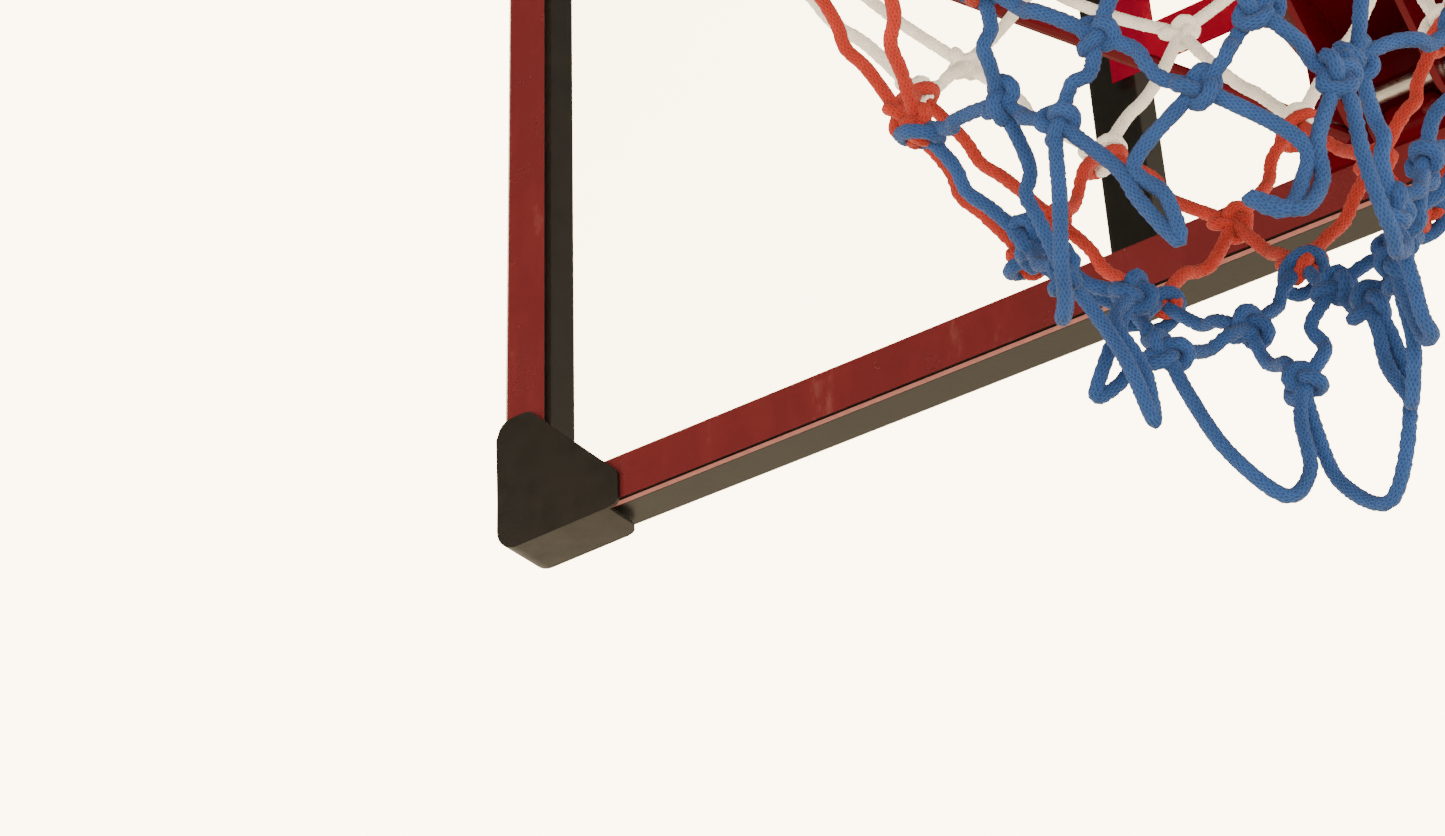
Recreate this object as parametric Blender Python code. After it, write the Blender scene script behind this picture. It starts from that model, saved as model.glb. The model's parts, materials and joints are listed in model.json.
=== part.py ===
"""Basketball backboard with a breakaway hoop: clear sheet, square-tube frame, corner caps, ring and net.

+Z is up, the board faces -Y and +X runs along it. The origin is the centre of the pole bracket's rear
face, which is the face that hangs on the pole's arms. Lengths are in metres.
"""

import math

import bmesh
import bpy
from mathutils import Matrix, Vector

# ---------------------------------------------------------------- driving dimensions
GAP = 0.0003            # clearance between touching pieces
CUT = 0.005             # how far a hole's cutter runs past both faces

BOARD_W = 1.372
BOARD_H = 0.838
SHEET_T = 0.0045
SHEET_CORNER_R = 0.012
LINE_W = 0.0335         # width of the painted lines
LINE_T = 0.0004
LINE_CORNER_R = 0.0005
BORDER_INSET = 0.0018
TARGET_W = 0.374        # outside size of the shooter's square
TARGET_H = 0.280
TARGET_ABOVE_BASE = 0.1615

TUBE = 0.032            # square frame tube
TUBE_WALL = 0.002
TUBE_R = 0.003
TUBE_INSET = 0.0023
TAPE_T = 0.0006
TAPE_W = 0.026
TAPE_CORNER_R = 0.002
UPRIGHT_X = 0.1913
LOWER_CROSS_Z = 0.262   # centre height above the sheet's bottom edge
UPPER_CROSS_Z = 0.576

CHANNEL_W = 0.090
CHANNEL_T = 0.003
POLE_WEB_W = 0.120
POLE_BRACKET_H = 0.380
POLE_BRACKET_D = 0.040
POLE_BRACKET_T = 0.004
POLE_LIP_W = 0.032
POLE_HOLE_R = 0.0065    # holes in the web for the pole's arms
POLE_HOLE_X = 0.035
POLE_HOLE_Z = 0.150
POLE_BOLT_R = 0.0040
POLE_BOLT_HEAD_R = 0.0075
POLE_BOLT_HEAD_H = 0.0060
POLE_BOLT_LEN = 0.018

CAP_RIGHT = 0.1013      # reach of the cap along the bottom rail, from the sheet's side edge
CAP_TOP = 0.1005        # reach up the side rail, from the sheet's bottom edge
CAP_SIDE_OUT = 0.0042   # how far the cap stands outside the sheet's edges
CAP_FOOT_OUT = 0.0060
CAP_BEND_R = 0.018
CAP_D = 0.0393
CAP_T = 0.0025
CAP_CORNER_R = 0.012    # rear corners of the skirt
CAP_SCREW_UP = 0.062
CAP_SCREW_OUT = 0.0051  # side wall's outer face at the screw
CAP_SCREW_R = 0.002
CAP_SCREW_HEAD_R = 0.0042
CAP_SCREW_HEAD_H = 0.0024
CAP_SCREW_LEN = 0.016

BASE_W = 0.116          # hoop's fixed base plate
BASE_Z0 = 0.028
BASE_Z1 = 0.168
BASE_T = 0.004
EAR_X = 0.022           # inner face of each pivot ear
EAR_R = 0.012
PIVOT_R = 0.005
PIVOT_DY = -0.022       # pivot axis, from the sheet's front face
PIVOT_Z = 0.052         # and above its bottom edge
HOOP_BOLT_R = 0.0040
HOOP_BOLT_HEAD_R = 0.0080
HOOP_BOLT_HEAD_H = 0.0042
HOOP_BOLT_LEN = 0.028
STEEL_HOLE_R = 0.0052   # hoop bolt holes in steel
SHEET_HOLE_R = 0.0055   # and in the sheet
# x, and height above the sheet's bottom edge
HOOP_BOLTS = ((-0.030, 0.1565), (0.030, 0.1565), (-0.011, 0.046), (0.011, 0.046))

RING_R = 0.2365         # centreline radius of the ring: 18 inch clear opening
RING_ROD_R = 0.008
RING_DY = -0.381
RING_Z = 0.104
BRACE_R = 0.0055
BRACE_ANGLE = math.radians(64)
HOOK_COUNT = 10
FIRST_HOOK = math.radians(18)
HOOK_ROD_R = 0.002
HOOK_DROP = 0.013

CARRIER_T = 0.004
CARRIER_W = 0.110
WEB_Z0 = 0.072
WEB_Z1 = 0.146
STUD_X = 0.043
STUD_Z = 0.132
STUD_R = 0.004
STUD_LEN = 0.066
STUD_HOLE_R = 0.0072    # wide enough for the carrier to tip round the stud
SPRING_R = 0.0088
SPRING_WIRE_R = 0.0013
SPRING_LEN = 0.044
SPRING_TURNS = 7

NET_T = 0.003
NET_SIDES = 24
# height above the sheet's bottom edge and radius of each colour band's ends
NET_PROFILE = {
    "net_white": ((0.079, 0.2260), (0.015, 0.2005), (-0.070, 0.1670)),
    "net_red": ((-0.0705, 0.1670), (-0.135, 0.1440), (-0.190, 0.1200)),
    "net_blue": ((-0.1905, 0.1200), (-0.268, 0.0740), (-0.358, 0.0600)),
}

# ---------------------------------------------------------------- derived planes
Z_BASE = -BOARD_H / 2                       # sheet's bottom edge
Y_TUBE_BACK = -POLE_BRACKET_D - GAP
Y_TUBE_FRONT = Y_TUBE_BACK - TUBE
Y_SHEET_BACK = Y_TUBE_FRONT - TAPE_T - 2 * GAP
Y_SHEET = Y_SHEET_BACK - SHEET_T            # sheet's front face
TUBE_MID_Y = (Y_TUBE_BACK + Y_TUBE_FRONT) / 2
BASE_BACK = Y_SHEET - LINE_T - 2 * GAP
BASE_FRONT = BASE_BACK - BASE_T
PIVOT = Vector((0, Y_SHEET + PIVOT_DY, Z_BASE + PIVOT_Z))
POLE_BOLT_X = (-(POLE_WEB_W + POLE_LIP_W) / 2, (POLE_WEB_W + POLE_LIP_W) / 2)

BLACK_STEEL = ((0.020, 0.018, 0.015, 1), 0.42, 0.35)
BLACK_PLASTIC = ((0.030, 0.026, 0.021, 1), 0.50, 0.0)
RED_STEEL = ((0.45, 0.012, 0.020, 1), 0.28, 0.0)
CLEAR = ((0.95, 0.96, 0.95, 0.2), 0.05, 0.0)
RED_FILM = ((0.42, 0.02, 0.03, 1), 0.35, 0.0)
ZINC = ((0.55, 0.55, 0.56, 1), 0.35, 1.0)
FOAM = ((0.01, 0.01, 0.01, 1), 0.9, 0.0)
CORD_WHITE = ((0.80, 0.77, 0.73, 1), 0.85, 0.0)
CORD_RED = ((0.70, 0.09, 0.05, 1), 0.85, 0.0)
CORD_BLUE = ((0.06, 0.17, 0.50, 1), 0.85, 0.0)


# ---------------------------------------------------------------- helpers
def clear_scene():
    for item in list(bpy.data.objects):
        bpy.data.objects.remove(item, do_unlink=True)


def material(name, finish):
    colour, roughness, metallic = finish
    mat = bpy.data.materials.get(name) or bpy.data.materials.new(name)
    mat.use_nodes = True
    shader = mat.node_tree.nodes["Principled BSDF"]
    shader.inputs["Base Color"].default_value = colour
    shader.inputs["Roughness"].default_value = roughness
    shader.inputs["Metallic"].default_value = metallic
    mat.diffuse_color = colour
    return mat


def add_object(name, mesh_data, finish, smooth=False):
    """Put a bmesh into a new object with its own material."""
    mesh = bpy.data.meshes.new(name)
    bmesh.ops.recalc_face_normals(mesh_data, faces=mesh_data.faces)
    mesh_data.to_mesh(mesh)
    mesh_data.free()
    if smooth:
        mesh.shade_smooth()
        mesh.set_sharp_from_angle(angle=math.radians(35))
    item = bpy.data.objects.new(name, mesh)
    bpy.context.scene.collection.objects.link(item)
    item.data.materials.append(material(name, finish))
    return item


def hide(item):
    item.hide_render = True
    item.display_type = "WIRE"
    return item


def boolean(target, cutter, operation="DIFFERENCE"):
    mod = target.modifiers.new(operation.lower(), "BOOLEAN")
    mod.operation = operation
    mod.object = hide(cutter)
    return mod


def add_box(mesh, low, high):
    size = Vector(high) - Vector(low)
    middle = (Vector(high) + Vector(low)) / 2
    matrix = Matrix.Translation(middle) @ Matrix.Diagonal((*size, 1))
    bmesh.ops.create_cube(mesh, size=1, matrix=matrix)


def add_rod(mesh, start, end, radius, sides=16):
    """A closed cylinder from start to end."""
    start, end = Vector(start), Vector(end)
    turn = (end - start).to_track_quat("Z", "Y").to_matrix().to_4x4()
    bmesh.ops.create_cone(
        mesh, cap_ends=True, segments=sides, radius1=radius, radius2=radius,
        depth=(end - start).length, matrix=Matrix.Translation((start + end) / 2) @ turn,
    )


def rod_object(name, rods, finish, sides=16):
    mesh = bmesh.new()
    for start, end, radius in rods:
        add_rod(mesh, start, end, radius, sides)
    return add_object(name, mesh, finish, smooth=True)


def rounded_rectangle(width, height, radius, steps=3):
    """Corner-rounded outline, anticlockwise from the lower right."""
    points = []
    for index, (sx, sy) in enumerate(((1, -1), (1, 1), (-1, 1), (-1, -1))):
        cx, cy = sx * (width / 2 - radius), sy * (height / 2 - radius)
        for step in range(steps + 1):
            angle = math.radians(-90 + 90 * index + 90 * step / steps)
            points.append((cx + radius * math.cos(angle), cy + radius * math.sin(angle)))
    return points


def add_prism(mesh, outline, place, depth):
    """Extrude a 2D outline; place(u, v, w) turns outline and depth coordinates into a point."""
    near = [mesh.verts.new(place(u, v, 0)) for u, v in outline]
    far = [mesh.verts.new(place(u, v, depth)) for u, v in outline]
    mesh.faces.new(near)
    mesh.faces.new(list(reversed(far)))
    for i in range(len(outline)):
        j = (i + 1) % len(outline)
        mesh.faces.new((near[i], far[i], far[j], near[j]))


def add_hollow_prism(mesh, outer, inner, place, depth):
    """Extrude the band between two outlines with the same number of points."""
    rings = [[mesh.verts.new(place(u, v, w)) for u, v in outline] for outline, w in
             ((outer, 0), (outer, depth), (inner, depth), (inner, 0))]
    for a, b in zip(rings, rings[1:] + rings[:1]):
        for i in range(len(outer)):
            j = (i + 1) % len(outer)
            mesh.faces.new((a[i], b[i], b[j], a[j]))


def add_lathe(mesh, profile, centre, sides):
    """A closed ring of revolution about a vertical axis from a closed (radius, height) profile."""
    rings = []
    for k in range(sides):
        angle = 2 * math.pi * k / sides
        rings.append([mesh.verts.new((centre[0] + r * math.cos(angle), centre[1] + r * math.sin(angle), z))
                      for r, z in profile])
    for k in range(sides):
        a, b = rings[k], rings[(k + 1) % sides]
        for i in range(len(profile)):
            j = (i + 1) % len(profile)
            mesh.faces.new((a[i], b[i], b[j], a[j]))


def in_plane_xz(y):
    return lambda u, v, w: (u, y + w, v)


def skin(mesh, rings):
    """Faces between successive rings of points, and a flat face over each end."""
    for a, b in zip(rings, rings[1:]):
        for k in range(len(a)):
            m = (k + 1) % len(a)
            mesh.faces.new((a[k], a[m], b[m], b[k]))
    mesh.faces.new(list(reversed(rings[0])))
    mesh.faces.new(rings[-1])


def round_section(mesh, centre, radius, side, up, sides):
    """A ring of points round centre, in the plane of side and up."""
    angles = [2 * math.pi * k / sides for k in range(sides)]
    return [mesh.verts.new(centre + radius * (math.cos(a) * side + math.sin(a) * up)) for a in angles]


def hoop_bolt_holes(front, back, radius):
    return [((x, front - CUT, Z_BASE + z), (x, back + CUT, Z_BASE + z), radius) for x, z in HOOP_BOLTS]


# ---------------------------------------------------------------- sheet and lines
def board_rectangle(inset_x, inset_z, radius):
    return rounded_rectangle(BOARD_W - 2 * inset_x, BOARD_H - 2 * inset_z, radius)


def make_sheet():
    mesh = bmesh.new()
    add_prism(mesh, board_rectangle(0, 0, SHEET_CORNER_R), in_plane_xz(Y_SHEET), SHEET_T)
    sheet = add_object("backboard_sheet", mesh, CLEAR)
    boolean(sheet, rod_object("sheet_holes", hoop_bolt_holes(Y_SHEET, Y_SHEET_BACK, SHEET_HOLE_R), CLEAR))


def make_lines():
    front = in_plane_xz(Y_SHEET - GAP - LINE_T)
    outer = BORDER_INSET
    inner = BORDER_INSET + LINE_W
    mesh = bmesh.new()
    outside = board_rectangle(outer, outer, SHEET_CORNER_R - BORDER_INSET)
    inside = board_rectangle(inner, inner, LINE_CORNER_R)
    add_hollow_prism(mesh, outside, inside, front, LINE_T)
    add_object("border_line", mesh, RED_FILM)
    middle = Z_BASE + TARGET_ABOVE_BASE + TARGET_H / 2
    mesh = bmesh.new()
    outside = rounded_rectangle(TARGET_W, TARGET_H, LINE_CORNER_R)
    inside = rounded_rectangle(TARGET_W - 2 * LINE_W, TARGET_H - 2 * LINE_W, LINE_CORNER_R)
    add_hollow_prism(mesh, [(u, v + middle) for u, v in outside], [(u, v + middle) for u, v in inside],
                     front, LINE_T)
    add_object("target_line", mesh, RED_FILM)


def make_tape():
    outer = TUBE_INSET + (TUBE - TAPE_W) / 2
    inner = outer + TAPE_W
    mesh = bmesh.new()
    outside = board_rectangle(outer, outer, TAPE_CORNER_R)
    inside = board_rectangle(inner, inner, TAPE_CORNER_R)
    add_hollow_prism(mesh, outside, inside, in_plane_xz(Y_SHEET_BACK + GAP), TAPE_T)
    add_object("frame_tape", mesh, FOAM)


# ---------------------------------------------------------------- frame
def tube_object(name, start, end):
    """A square tube with open ends along X or Z, between two points on its axis."""
    start, end = Vector(start), Vector(end)
    length = (end - start).length
    if abs(end.x - start.x) > abs(end.z - start.z):
        def place(u, v, w):
            return (start.x + w, start.y + u, start.z + v)
    else:
        def place(u, v, w):
            return (start.x + u, start.y + v, start.z + w)
    bore = TUBE - 2 * TUBE_WALL
    mesh = bmesh.new()
    add_hollow_prism(mesh, rounded_rectangle(TUBE, TUBE, TUBE_R),
                     rounded_rectangle(bore, bore, TUBE_R - TUBE_WALL), place, length)
    return add_object(name, mesh, BLACK_STEEL, smooth=True)


def make_frame():
    side_x = BOARD_W / 2 - TUBE_INSET - TUBE / 2
    end_z = BOARD_H / 2 - TUBE_INSET
    rail_z = end_z - TUBE / 2
    rail_x = side_x - TUBE / 2 - GAP
    y = TUBE_MID_Y
    for side, name in ((-1, "left"), (1, "right")):
        rail = tube_object(f"{name}_rail", (side * side_x, y, -end_z), (side * side_x, y, end_z))
        outside = side * (side_x + TUBE / 2)
        holes = []
        for end in (-1, 1):
            z = end * (BOARD_H / 2 - CAP_SCREW_UP)
            holes.append(((outside + CUT, y, z), (outside - CUT, y, z), CAP_SCREW_R + 0.0005))
        boolean(rail, rod_object(f"{name}_rail_holes", holes, BLACK_STEEL))
        tube_object(f"{name}_upright", (side * UPRIGHT_X, y, -rail_z + TUBE / 2 + GAP),
                    (side * UPRIGHT_X, y, rail_z - TUBE / 2 - GAP))
    tube_object("top_rail", (-rail_x, y, rail_z), (rail_x, y, rail_z))
    tube_object("bottom_rail", (-rail_x, y, -rail_z), (rail_x, y, -rail_z))
    cross_x = UPRIGHT_X - TUBE / 2 - GAP
    for name, height in (("lower_cross_rail", LOWER_CROSS_Z), ("upper_cross_rail", UPPER_CROSS_Z)):
        z = Z_BASE + height
        rail = tube_object(name, (-cross_x, y, z), (cross_x, y, z))
        holes = [((x, Y_TUBE_BACK + CUT, z), (x, Y_TUBE_BACK - CUT, z), POLE_BOLT_R + 0.0006)
                 for x in POLE_BOLT_X]
        boolean(rail, rod_object(f"{name}_holes", holes, BLACK_STEEL))


def make_centre_channel():
    """U channel behind the hoop: web against the sheet side, flanges running back, between two rails."""
    low = Z_BASE + TUBE_INSET + TUBE + GAP
    high = Z_BASE + LOWER_CROSS_Z - TUBE / 2 - GAP
    w, t = CHANNEL_W / 2, CHANNEL_T
    front, back = Y_TUBE_FRONT, Y_TUBE_BACK
    outline = [(-w, back), (-w, front), (w, front), (w, back), (w - t, back), (w - t, front + t),
               (-w + t, front + t), (-w + t, back)]
    mesh = bmesh.new()
    add_prism(mesh, outline, lambda u, v, d: (u, v, low + d), high - low)
    channel = add_object("centre_channel", mesh, BLACK_STEEL)
    holes = hoop_bolt_holes(front, front + t, STEEL_HOLE_R)
    boolean(channel, rod_object("channel_holes", holes, BLACK_STEEL))


def make_pole_bracket():
    """Hat section that bolts to both cross rails; its rear web is the mounting face."""
    w, t, d, lip = POLE_WEB_W / 2, POLE_BRACKET_T, POLE_BRACKET_D, POLE_LIP_W
    outline = [(-w, 0), (-w, -d + t), (-w - lip, -d + t), (-w - lip, -d), (-w + t, -d), (-w + t, -t),
               (w - t, -t), (w - t, -d), (w + lip, -d), (w + lip, -d + t), (w, -d + t), (w, 0)]
    middle = Z_BASE + (LOWER_CROSS_Z + UPPER_CROSS_Z) / 2
    mesh = bmesh.new()
    add_prism(mesh, outline, lambda u, v, k: (u, v, middle - POLE_BRACKET_H / 2 + k), POLE_BRACKET_H)
    bracket = add_object("pole_bracket", mesh, BLACK_STEEL)
    rods = [((x, -d - CUT, Z_BASE + z), (x, -d + t + CUT, Z_BASE + z), POLE_BOLT_R + 0.0010)
            for x in POLE_BOLT_X for z in (LOWER_CROSS_Z, UPPER_CROSS_Z)]
    rods += [((x, -t - CUT, middle + z), (x, CUT, middle + z), POLE_HOLE_R)
             for x in (-POLE_HOLE_X, POLE_HOLE_X) for z in (-POLE_HOLE_Z, POLE_HOLE_Z)]
    boolean(bracket, rod_object("pole_bracket_holes", rods, BLACK_STEEL))
    for side_name, x in zip(("left", "right"), POLE_BOLT_X):
        for end_name, height in (("lower", LOWER_CROSS_Z), ("upper", UPPER_CROSS_Z)):
            mesh = bmesh.new()
            add_flange_bolt(mesh, Vector((x, -d + t + GAP, Z_BASE + height)), Vector((0, 1, 0)),
                            POLE_BOLT_R, POLE_BOLT_HEAD_R, POLE_BOLT_HEAD_H, POLE_BOLT_LEN)
            add_object(f"{end_name}_{side_name}_pole_bolt", mesh, ZINC)


# ---------------------------------------------------------------- fasteners
def frame_along(point, direction):
    """Matrix whose +Z runs along direction from point."""
    return Matrix.Translation(point) @ direction.to_track_quat("Z", "Y").to_matrix().to_4x4()


def add_turned(mesh, point, direction, profile, sides=16):
    """Solid of revolution with a flat start and end; profile is (height, radius) from start to end."""
    matrix = frame_along(point, direction)
    side, up = matrix.col[0].to_3d(), matrix.col[1].to_3d()
    skin(mesh, [round_section(mesh, matrix @ Vector((0, 0, height)), radius, side, up, sides)
                for height, radius in profile])


def add_flange_bolt(mesh, seat, outward, shank_r, head_r, head_h, shank_len, sides=12):
    """Bolt with its flanged head standing on seat along outward and its shank running the other way."""
    flange_r = head_r * 1.3
    shape = [(-shank_len, shank_r), (0, shank_r), (0, flange_r), (0.0014, flange_r),
             (0.0018, head_r), (head_h * 0.8, head_r), (head_h, head_r * 0.82)]
    add_turned(mesh, seat, outward, shape, sides)


def add_dome_bolt(mesh, seat, outward, shank_r, head_r, head_h, shank_len, sides=16):
    """Round-headed bolt."""
    dome = [(head_h * math.sin(a), head_r * math.cos(a)) for a in (0.0, 0.45, 0.85, 1.2)]
    add_turned(mesh, seat, outward, [(-shank_len, shank_r), (0, shank_r)] + dome, sides)


def add_ring_solid(mesh, seat, outward, profile, sides):
    """Closed ring of revolution standing on seat; profile is a closed loop of (radius, height)."""
    matrix = frame_along(seat, outward)
    side, up = matrix.col[0].to_3d(), matrix.col[1].to_3d()
    rings = [round_section(mesh, matrix @ Vector((0, 0, height)), radius, side, up, sides)
             for radius, height in profile]
    for a, b in zip(rings, rings[1:] + rings[:1]):
        for k in range(sides):
            m = (k + 1) % sides
            mesh.faces.new((a[k], a[m], b[m], b[k]))


def nut_object(name, seat, outward, hole_r, flange_r, nut_r, height):
    """Flange nut: a round flange under a six-sided body."""
    mesh = bmesh.new()
    flange = 0.0016
    shape = [(flange_r, 0), (flange_r, flange), (nut_r, flange + 0.0004), (nut_r, height - 0.0006),
             (nut_r - 0.0012, height), (hole_r, height), (hole_r, 0)]
    add_ring_solid(mesh, seat, outward, shape, 12)
    return add_object(name, mesh, ZINC)


# ---------------------------------------------------------------- corner caps
def arc(cx, cz, radius, start, end, steps):
    angles = [math.radians(start + (end - start) * k / steps) for k in range(steps + 1)]
    return [(cx + radius * math.cos(a), cz + radius * math.sin(a)) for a in angles]


def cap_outline():
    """Front outline of a lower-left cap, anticlockwise: the skirt's part, then the free edge."""
    skirt = [(-0.0058, CAP_TOP - 0.0137), (-CAP_SIDE_OUT, 0.034)]
    skirt += arc(CAP_BEND_R - CAP_SIDE_OUT, CAP_BEND_R - CAP_FOOT_OUT, CAP_BEND_R, 180, 270, 7)
    skirt += [(CAP_RIGHT - 0.009, -0.0042)]
    edge = arc(CAP_RIGHT - 0.006, 0.0020, 0.006, -60, 0, 3)
    edge += arc(CAP_RIGHT - 0.009, 0.0180, 0.009, 0, 45, 3)
    edge += arc(0.0195, CAP_TOP - 0.011, 0.011, 45, 90, 3)
    edge += arc(0.0075, CAP_TOP - 0.012, 0.012, 90, 170, 4)
    return skirt, edge


def make_cap(name, side, top):
    """Moulded corner cap: a front plate and one skirt that wraps the two outer faces of the frame."""
    skirt, edge = cap_outline()
    inner = offset_inward(skirt, CAP_T)
    lengths = [0.0]
    for a, b in zip(skirt, skirt[1:]):
        lengths.append(lengths[-1] + math.hypot(b[0] - a[0], b[1] - a[1]))
    stations = refine_ends(skirt, inner, lengths)
    skirt = [s[0] for s in stations]
    inner = [s[1] for s in stations]
    depth = [s[2] for s in stations]
    count = len(skirt)
    front = Y_SHEET - GAP - LINE_T - GAP - CAP_T
    last = count - 1
    up = 1 if top else -1

    def corner(point, d):
        return mesh.verts.new((side * (BOARD_W / 2 - point[0]), front + d, up * (BOARD_H / 2 - point[1])))

    mesh = bmesh.new()
    outer_front = [corner(p, 0) for p in skirt]
    outer_step = {k: corner(skirt[k], CAP_T) for k in (0, last)}
    outer_back = [corner(p, d) for p, d in zip(skirt, depth)]
    inner_back = [corner(p, d) for p, d in zip(inner, depth)]
    inner_step = [corner(p, CAP_T) for p in inner]
    edge_front = [corner(p, 0) for p in edge]
    edge_back = [corner(p, CAP_T) for p in edge]
    mesh.faces.new(outer_front + edge_front)
    mesh.faces.new(list(reversed(inner_step + [outer_step[last]] + edge_back + [outer_step[0]])))
    for k in range(last):
        wall = [outer_front[k], outer_front[k + 1]]
        if k + 1 == last:
            wall.append(outer_step[last])
        wall += [outer_back[k + 1], outer_back[k]]
        if k == 0:
            wall.append(outer_step[0])
        mesh.faces.new(wall)
        mesh.faces.new((outer_back[k], outer_back[k + 1], inner_back[k + 1], inner_back[k]))
        mesh.faces.new((inner_back[k], inner_back[k + 1], inner_step[k + 1], inner_step[k]))
    for k in (0, last):
        mesh.faces.new((outer_step[k], outer_back[k], inner_back[k], inner_step[k]))
    rim_front = [outer_front[-1]] + edge_front + [outer_front[0]]
    rim_back = [outer_step[last]] + edge_back + [outer_step[0]]
    for k in range(len(rim_front) - 1):
        mesh.faces.new((rim_front[k], rim_front[k + 1], rim_back[k + 1], rim_back[k]))
    cap = add_object(name, mesh, BLACK_PLASTIC, smooth=True)
    wall_x = side * (BOARD_W / 2 + CAP_SCREW_OUT)
    z = up * (BOARD_H / 2 - CAP_SCREW_UP)
    hole = [((wall_x - CUT, TUBE_MID_Y, z), (wall_x + CUT, TUBE_MID_Y, z), CAP_SCREW_R + 0.0006)]
    boolean(cap, rod_object(f"{name}_hole", hole, BLACK_PLASTIC))


def offset_inward(path, distance):
    """Offset an open path to its left-hand side; it runs anticlockwise round the cap's corner."""
    result = []
    for k, point in enumerate(path):
        before = path[max(k - 1, 0)]
        after = path[min(k + 1, len(path) - 1)]
        dx, dz = after[0] - before[0], after[1] - before[1]
        length = math.hypot(dx, dz)
        result.append((point[0] - dz / length * distance, point[1] + dx / length * distance))
    return result


def refine_ends(skirt, inner, lengths):
    """Add stations near both ends of the skirt, where its rear corners are rounded."""
    total = lengths[-1]
    wanted = sorted(set([CAP_CORNER_R * (1 - math.cos(math.radians(a))) for a in (0, 25, 45, 65, 90)]))
    marks = sorted(set(lengths[1:-1] + wanted + [total - w for w in wanted]))
    kept = [marks[0]]
    for mark in marks[1:]:
        if mark - kept[-1] > 0.0004:
            kept.append(mark)
    stations = []
    for mark in kept:
        k = max(i for i in range(len(lengths) - 1) if lengths[i] <= mark + 1e-9)
        t = (mark - lengths[k]) / (lengths[k + 1] - lengths[k])
        t = min(max(t, 0.0), 1.0)
        outer_point = tuple(a + (b - a) * t for a, b in zip(skirt[k], skirt[k + 1]))
        inner_point = tuple(a + (b - a) * t for a, b in zip(inner[k], inner[k + 1]))
        near = min(mark, total - mark)
        depth = CAP_D
        if near < CAP_CORNER_R:
            depth = CAP_D - CAP_CORNER_R + math.sqrt(CAP_CORNER_R ** 2 - (CAP_CORNER_R - near) ** 2)
        stations.append((outer_point, inner_point, depth))
    return stations


def make_cap_screw(name, side, top):
    seat = Vector((side * (BOARD_W / 2 + CAP_SCREW_OUT + 2 * GAP), TUBE_MID_Y,
                   (1 if top else -1) * (BOARD_H / 2 - CAP_SCREW_UP)))
    mesh = bmesh.new()
    add_dome_bolt(mesh, seat, Vector((side, 0, 0)), CAP_SCREW_R, CAP_SCREW_HEAD_R, CAP_SCREW_HEAD_H,
                  CAP_SCREW_LEN, 12)
    add_object(name, mesh, ZINC, smooth=True)


# ---------------------------------------------------------------- hoop base, fixed to the board
def make_hoop_base():
    mesh = bmesh.new()
    add_box(mesh, (-BASE_W / 2, BASE_FRONT, Z_BASE + BASE_Z0), (BASE_W / 2, BASE_BACK, Z_BASE + BASE_Z1))
    base = add_object("hoop_base", mesh, RED_STEEL)
    for name, side in (("left_ear", -1), ("right_ear", 1)):
        mesh = bmesh.new()
        pz = PIVOT.z
        outline = [(BASE_FRONT + 0.002, pz - 0.020), (BASE_FRONT + 0.002, pz + 0.016)]
        outline += [(PIVOT.y + EAR_R * math.cos(a), pz + EAR_R * math.sin(a))
                    for a in [math.radians(60 + 30 * k) for k in range(9)]]
        x = side * EAR_X if side > 0 else side * (EAR_X + CARRIER_T)
        add_prism(mesh, outline, lambda u, v, w, x=x: (x + w, u, v), CARRIER_T)
        ear = add_object(name, mesh, RED_STEEL)
        boolean(base, ear, "UNION")
    holes = hoop_bolt_holes(BASE_FRONT, BASE_BACK, STEEL_HOLE_R)
    boolean(base, rod_object("hoop_base_bolt_holes", holes, RED_STEEL))
    reach = EAR_X + 2 * CARRIER_T
    pin_hole = [((-reach, PIVOT.y, PIVOT.z), (reach, PIVOT.y, PIVOT.z), PIVOT_R + 0.0004)]
    boolean(base, rod_object("hoop_base_pin_hole", pin_hole, RED_STEEL, 24))


def make_hoop_bolts():
    """Round-headed bolts through base, sheet and channel, each with a flange nut behind."""
    back = Y_TUBE_FRONT + CHANNEL_T + GAP
    names = ("upper_left", "upper_right", "lower_left", "lower_right")
    for name, (x, height) in zip(names, HOOP_BOLTS):
        z = Z_BASE + height
        mesh = bmesh.new()
        add_dome_bolt(mesh, Vector((x, BASE_FRONT - GAP, z)), Vector((0, -1, 0)),
                      HOOP_BOLT_R, HOOP_BOLT_HEAD_R, HOOP_BOLT_HEAD_H, HOOP_BOLT_LEN)
        add_object(f"{name}_hoop_bolt", mesh, RED_STEEL, smooth=True)
        nut_object(f"{name}_hoop_nut", Vector((x, back, z)), Vector((0, 1, 0)),
                   HOOP_BOLT_R + 0.0004, 0.0088, 0.0070, 0.0085)


def make_pivot():
    half = EAR_X + 2 * CARRIER_T + 2 * GAP + 0.0012
    mesh = bmesh.new()
    add_turned(mesh, Vector((-half - 0.002, PIVOT.y, PIVOT.z)), Vector((1, 0, 0)),
               [(0, 0.0058), (0.0008, 0.0068), (0.002, 0.0068), (0.002, PIVOT_R),
                (2 * half + 0.0035, PIVOT_R), (2 * half + 0.0045, PIVOT_R - 0.001)], 24)
    add_object("pivot_pin", mesh, ZINC, smooth=True)
    clip = bmesh.new()
    add_ring_solid(clip, Vector((half + 0.0003, PIVOT.y, PIVOT.z)), Vector((1, 0, 0)),
                   [(0.0078, 0), (0.0078, 0.001), (PIVOT_R + 0.0004, 0.001), (PIVOT_R + 0.0004, 0)], 20)
    add_object("pivot_clip", clip, ZINC)


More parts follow.
